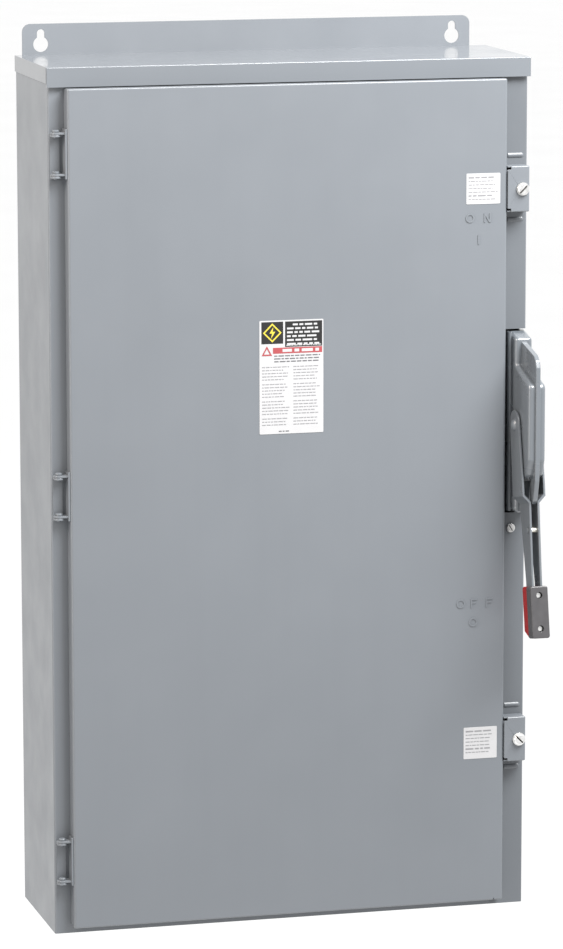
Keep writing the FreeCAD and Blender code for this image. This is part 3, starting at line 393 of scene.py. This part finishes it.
def nameplate_print():
    """Generic print on the door's plate: mark, heading, red band, columns."""
    low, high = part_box("nameplate")
    y = low.y
    width = high.x - low.x
    tall = high.z - low.z

    def spot(u, v):
        return low.x + u * width, high.z - v * tall

    def area(builder, u0, v0, u1, v1, index, lift=1.0):
        x0, z1 = spot(u0, v0)
        x1, z0 = spot(u1, v1)
        slab(builder, (x0, y - INK * lift, z0), (x1, y, z1), index)

    def line(builder, rng, u0, u1, v, size, index, fill=1.0, lift=1.0):
        x0, z = spot(u0, v)
        x1, _ = spot(u1, v)
        words(builder, rng, x0, x1, z, size * MM, y, INK * lift, index, fill)

    def make(builder):
        rng = random.Random(7)
        area(builder, 0.03, 0.012, 0.37, 0.205, 0)
        area(builder, 0.40, 0.012, 0.98, 0.235, 0)
        for row in range(6):
            line(builder, rng, 0.43 if row else 0.52, 0.96, 0.040 + row * 0.034, 2.6, 1, 0.95, 2.0)
        line(builder, rng, 0.42, 0.96, 0.221, 1.3, 1, 1.0, 2.0)
        area(builder, 0.21, 0.240, 0.98, 0.292, 2)
        for start, stop in ((0.36, 0.62), (0.66, 0.93)):
            line(builder, rng, start, stop, 0.266, 4.2, 1, 1.0, 2.0)
        for row in range(3):
            line(builder, rng, 0.23, 0.97, 0.313 + row * 0.025, 1.7, 4, 0.97)
        for column in PRINT_COLUMNS:
            for row in range(PRINT_ROWS):
                gaps = row // PARAGRAPH_ROWS
                v = 0.41 + row * PRINT_PITCH + gaps * PARAGRAPH_GAP
                if v < 0.955:
                    line(builder, rng, column, column + 0.43, v, 1.3, 3, rng.uniform(0.75, 1.0))
        line(builder, rng, 0.30, 0.46, 0.978, 1.6, 4)

    def bolt_mark(builder):
        """A plain lightning zigzag in an upright diamond, as the mark."""
        cx, cz = spot(0.20, 0.108)
        r = 0.145 * width
        outer = [(0, 1.0), (1.0, 0), (0, -1.0), (-1.0, 0)]
        inner = [(0.80 * u, 0.80 * v) for u, v in outer]
        extrude_ring(builder, outer, inner, cx, cz, r, y)
        zigzag = [(0.12, 0.62), (-0.30, -0.06), (-0.02, -0.06), (-0.14, -0.62),
                  (0.32, 0.12), (0.03, 0.12)]
        extrude_shape(builder, zigzag, cx, cz, r, y)

    def caution_mark(builder):
        """A generic caution triangle beside the red band."""
        cx, cz = spot(0.115, 0.272)
        outer = [(0, 1), (0.95, -0.75), (-0.95, -0.75)]
        inner = [(0, 0.52), (0.56, -0.50), (-0.56, -0.50)]
        extrude_ring(builder, outer, inner, cx, cz, 0.085 * width, y)

    looks = ["ink", "white", "red_ink", "grey_ink", "dark_ink"]
    piece("nameplate_print", make, looks, "door")
    piece("nameplate_mark", bolt_mark, "yellow_ink", "door")
    piece("nameplate_caution", caution_mark, "red_ink", "door")


def extrude_shape(builder, outline, cx, cz, size, y):
    """A flat mark raised off the label, from an outline round its centre."""
    front, back = [[builder.verts.new((cx + u * size, y - lift * INK, cz + v * size))
                    for u, v in outline] for lift in MARK_LIFTS]
    count = len(outline)
    builder.faces.new(front)
    builder.faces.new(back[::-1])
    for i in range(count):
        j = (i + 1) % count
        builder.faces.new((front[i], back[i], back[j], front[j]))


def extrude_ring(builder, outer, inner, cx, cz, size, y):
    """A flat frame raised off the label, between two outlines."""
    count = len(outer)
    layers = []
    for outline in (outer, inner):
        for lift in MARK_LIFTS:
            layers.append([builder.verts.new((cx + u * size, y - lift * INK, cz + v * size))
                           for u, v in outline])
    out_front, out_back, in_front, in_back = layers
    for i in range(count):
        j = (i + 1) % count
        quads = ((out_front[i], out_front[j], in_front[j], in_front[i]),
                 (out_back[j], out_back[i], in_back[i], in_back[j]),
                 (out_front[j], out_front[i], out_back[i], out_back[j]),
                 (in_front[i], in_front[j], in_back[j], in_back[i]))
        for quad in quads:
            builder.faces.new(quad)


def latch_label_print():
    """Seven lines of generic print on each latch label."""
    low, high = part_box("latch_labels")
    y = low.y
    margin = 3 * MM
    lower_top = low.z + 47 * MM

    def make(builder):
        rng = random.Random(3)
        for top in (high.z, lower_top):
            for row in range(7):
                z = top - 6 * MM - row * 5.2 * MM
                size = 2.2 * MM if row in (0, 5) else 1.3 * MM
                words(builder, rng, low.x + margin, high.x - margin, z, size, y, INK, 0,
                      rng.uniform(0.8, 1.0))

    piece("latch_label_print", make, "grey_ink", "door")


def wiring_diagram():
    """A generic one-line diagram inside the door: three poles and fuses."""
    low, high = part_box("wiring_label")
    y = high.y
    line = 0.8 * MM
    half_row = 0.9 * MM

    def stroke(builder, x, across0, down0, across1, down1):
        """A line from one place to another, in millimetres right and down."""
        x0, x1 = x + across0 * MM, x + across1 * MM
        z0, z1 = high.z - down0 * MM, high.z - down1 * MM
        slab(builder, (min(x0, x1) - line / 2, y, min(z0, z1) - line / 2),
             (max(x0, x1) + line / 2, y + INK, max(z0, z1) + line / 2))

    pole = [
        (0, 14, 0, 36), (0, 50, 0, 62), (-2, 36, 2, 36), (-2, 50, 2, 50), (-5, 62, 5, 62),
        (-5, 84, 5, 84), (-5, 62, -5, 84), (5, 62, 5, 84), (0, 84, 0, 98),
    ]

    def make(builder):
        rng = random.Random(5)
        for step in range(3):
            for ends in pole:
                stroke(builder, low.x + (34 + 31 * step) * MM, *ends)
        for row in range(10):
            z = low.z + (12 + 6.4 * row) * MM
            x = low.x + 10 * MM
            while x < high.x - 12 * MM:
                length = rng.uniform(4, 12) * MM
                slab(builder, (x, y, z - half_row), (x + length, y + INK, z + half_row))
                x += length + 2 * MM

    piece("wiring_diagram", make, "dark_ink", "door")


# ---- pieces inside the case --------------------------------------------------
def arc_bar(builder, centre, radii, angles, heights, index):
    """A curved patch round a vertical axis, closed on every side."""
    steps = max(2, int(abs(angles[1] - angles[0]) / math.radians(7)))
    closed = abs(angles[1] - angles[0]) > 2 * math.pi - 0.001
    rings = []
    for step in range(steps + (0 if closed else 1)):
        turn = angles[0] + (angles[1] - angles[0]) * step / steps
        across = Vector((math.sin(turn), -math.cos(turn)))
        ring = []
        for radius, z in ((radii[0], heights[0]), (radii[1], heights[0]),
                          (radii[1], heights[1]), (radii[0], heights[1])):
            ring.append(builder.verts.new((centre[0] + radius * across.x,
                                           centre[1] + radius * across.y, z)))
        rings.append(ring)
    pairs = list(zip(rings, rings[1:] + (rings[:1] if closed else [])))
    for first, second in pairs:
        for k in range(4):
            n = (k + 1) % 4
            builder.faces.new((first[k], first[n], second[n], second[k])).material_index = index
    if not closed:
        builder.faces.new(rings[0][::-1]).material_index = index
        builder.faces.new(rings[-1]).material_index = index


def fuse_labels():
    """A paper band with generic bars of print round each fuse tube."""
    low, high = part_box("fuse_bodies")
    radius = (high.y - low.y) / 2
    axis_y = (high.y + low.y) / 2
    middle = (high.z + low.z) / 2
    first = low.x + radius
    last = high.x - radius
    skin = radius + 0.05 * MM
    paper = (skin, skin + 0.25 * MM)
    print_film = (skin + 0.2 * MM, skin + 0.4 * MM)
    whole_turn = (0, 2 * math.pi)
    band = 4 * MM
    half_row = 1.3 * MM

    def make(builder):
        rng = random.Random(11)
        for centre_x in (first, (first + last) / 2, last):
            centre = (centre_x, axis_y)
            arc_bar(builder, centre, paper, whole_turn, (middle - 34 * MM, middle + 34 * MM), 0)
            for edge in (-30, 26):
                start = middle + edge * MM
                arc_bar(builder, centre, print_film, whole_turn, (start, start + band), 1)
            for row in range(6):
                z = middle + (17 - 7 * row) * MM
                turn = -0.62
                while turn < 0.55:
                    width = rng.uniform(0.07, 0.2)
                    arc_bar(builder, centre, print_film, (turn, turn + width),
                            (z - half_row, z + half_row), 2)
                    turn += width + 0.05

    piece("fuse_labels", make, ["cream", "red_ink", "dark_ink"], "enclosure")


def sweep(builder, path, radius, sides=10):
    """A round wire along a path of points, capped at both ends."""
    rings = []
    side = Vector((0, 0, 1))
    for i, point in enumerate(path):
        before = path[max(i - 1, 0)]
        after = path[min(i + 1, len(path) - 1)]
        ahead = (after - before).normalized()
        side = (side - ahead * side.dot(ahead)).normalized()
        other = ahead.cross(side)
        ring = []
        for k in range(sides):
            turn = 2 * math.pi * k / sides
            ring.append(builder.verts.new(point + radius * (math.cos(turn) * side
                                                            + math.sin(turn) * other)))
        rings.append(ring)
    for first, second in zip(rings, rings[1:]):
        for k in range(sides):
            n = (k + 1) % sides
            builder.faces.new((first[k], first[n], second[n], second[k]))
    builder.faces.new(rings[0][::-1])
    builder.faces.new(rings[-1])


def coiled_spring():
    """The torsion spring as one wound wire with a hooked leg."""
    low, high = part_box("toggle_spring")
    wire = 1.5 * MM
    coil = 13.5 * MM
    axis_y = (low.y + high.y) / 2
    axis_z = low.z + coil + wire
    turns = 5.5
    steps = 150

    def make(builder):
        path = [Vector((low.x + wire, axis_y + coil, axis_z - 9 * MM))]
        for step in range(steps + 1):
            turn = -2 * math.pi * turns * step / steps
            x = low.x + wire + (high.x - low.x - 2 * wire) * step / steps
            path.append(Vector((x, axis_y + coil * math.cos(turn), axis_z + coil * math.sin(turn))))
        end = path[-1]
        path.append(Vector((end.x, end.y, axis_z + 20 * MM)))
        path.append(Vector((end.x, end.y, high.z - 2 * MM)))
        path.append(Vector((end.x - 1.5 * MM, end.y, high.z - wire)))
        path.append(Vector((end.x - 7 * MM, end.y, high.z - wire)))
        sweep(builder, path, wire)

    wound = piece("toggle_spring_wound", make, "spring", "enclosure")
    wound.data.shade_smooth()
    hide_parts("toggle_spring")


def pin_cap():
    """The painted upset end of the cross pin on the lever's left arm."""
    low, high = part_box("cross_pin")
    centre = Vector((low.x, (low.y + high.y) / 2, (low.z + high.z) / 2))
    radius = 4.9 * MM

    def make(builder):
        made = bmesh.ops.create_uvsphere(builder, u_segments=24, v_segments=12, radius=radius)
        bmesh.ops.scale(builder, vec=(0.22, 1, 1), verts=made["verts"])
        bmesh.ops.translate(builder, vec=centre, verts=made["verts"])

    cap = piece("cross_pin_cap", make, "arm", "handle")
    cap.data.shade_smooth()


def slot_painted_shade(node, body, angle, depth, half_width):
    """Painted shade in one screw's slot: a dark sheet on the slot floor, inside its head."""
    low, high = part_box(node)
    radius = (high.z - low.z) / 2
    centre = Vector((high.x - radius, low.y + depth, low.z + radius))
    reach = radius * 0.78
    turn = Quaternion((0, 1, 0), math.radians(angle))

    def make(builder):
        slab(builder, (-reach, 0, -half_width), (reach, 0.1 * MM, half_width))
        for vert in builder.verts:
            vert.co = turn @ vert.co + centre

    piece(node + "_slot_painted_shade", make, "dirt", body)


# ---- stage, lights and camera -----------------------------------------------
def aim(thing, target):
    direction = Vector(target) - thing.location
    thing.rotation_mode = "QUATERNION"
    thing.rotation_quaternion = direction.to_track_quat("-Z", "Y")


def softbox(name, place, target, width, height, power, colour=(1, 1, 1)):
    light = bpy.data.lights.new(name, "AREA")
    light.shape = "RECTANGLE"
    light.size = width
    light.size_y = height
    light.energy = power
    light.color = colour
    thing = bpy.data.objects.new(name, light)
    bpy.context.scene.collection.objects.link(thing)
    thing.location = place
    aim(thing, target)
    return thing


def stage_and_lights():
    builder = bmesh.new()
    bmesh.ops.create_grid(builder, x_segments=8, y_segments=8, size=FLOOR_SIZE)
    mesh = bpy.data.meshes.new("studio_floor")
    builder.to_mesh(mesh)
    builder.free()
    material, tree, shader = new_material("studio_white")
    vector = coordinates(tree)
    tone = ramp(tree, noise(tree, vector, 1.2, 2.0), [(0.3, FLOOR_WHITE[0]), (0.7, FLOOR_WHITE[1])])
    tree.links.new(tone, shader.inputs["Base Color"])
    shader.inputs["Roughness"].default_value = 0.95
    shader.inputs["Specular IOR Level"].default_value = 0.1
    mesh.materials.append(material)
    floor = bpy.data.objects.new("studio_floor", mesh)
    bpy.context.scene.collection.objects.link(floor)
    floor.location.z = FLOOR_Z

    world = bpy.data.worlds.new("studio")
    world.use_nodes = True
    sky = world.node_tree.nodes["Background"]
    sky.inputs["Color"].default_value = (1.0, 1.0, 1.0, 1.0)
    sky.inputs["Strength"].default_value = SKY_STRENGTH
    bpy.context.scene.world = world
    softbox("key", (1.25, -1.75, 2.5), (0.05, -0.2, 0.15), 2.2, 1.6, 400)
    softbox("left_high", (-2.3, -0.8, 2.0), (-0.3, -0.15, 0.2), 1.2, 1.4, 85, WARM_HIGH)
    softbox("left_strip", (-2.6, -0.95, 0.75), (0.0, -0.2, 0.05), 0.5, 3.8, 48, WARM_STRIP)
    bpy.context.scene.view_settings.view_transform = "Standard"


def camera():
    yaw = math.radians(CAMERA_YAW)
    pitch = math.radians(CAMERA_PITCH)
    ahead = Vector((math.sin(yaw) * math.cos(pitch), math.cos(yaw) * math.cos(pitch),
                    -math.sin(pitch)))
    data = bpy.data.cameras.new("camera")
    data.lens = CAMERA_LENS
    data.sensor_width = 36.0
    data.clip_start = 0.1
    data.clip_end = 200.0
    thing = bpy.data.objects.new("camera", data)
    bpy.context.scene.collection.objects.link(thing)
    thing.location = CAMERA_TARGET - CAMERA_DISTANCE * ahead
    thing.rotation_mode = "QUATERNION"
    roll = Quaternion(ahead, math.radians(CAMERA_ROLL))
    thing.rotation_quaternion = roll @ ahead.to_track_quat("-Z", "Y")
    bpy.context.scene.camera = thing


camera()
stage_and_lights()
dress_nodes()
soften_nodes()
nameplate_print()
latch_label_print()
wiring_diagram()
fuse_labels()
coiled_spring()
pin_cap()
# Painted shade in the slots of the two latch bolts and the release screw.
slot_painted_shade("upper_latch_bolt", "upper_bolt", -45, 2.6 * MM, 1.0 * MM)
slot_painted_shade("lower_latch_bolt", "lower_bolt", 45, 2.6 * MM, 1.0 * MM)
slot_painted_shade("release_screw", "release", 60, 1.2 * MM, 0.65 * MM)
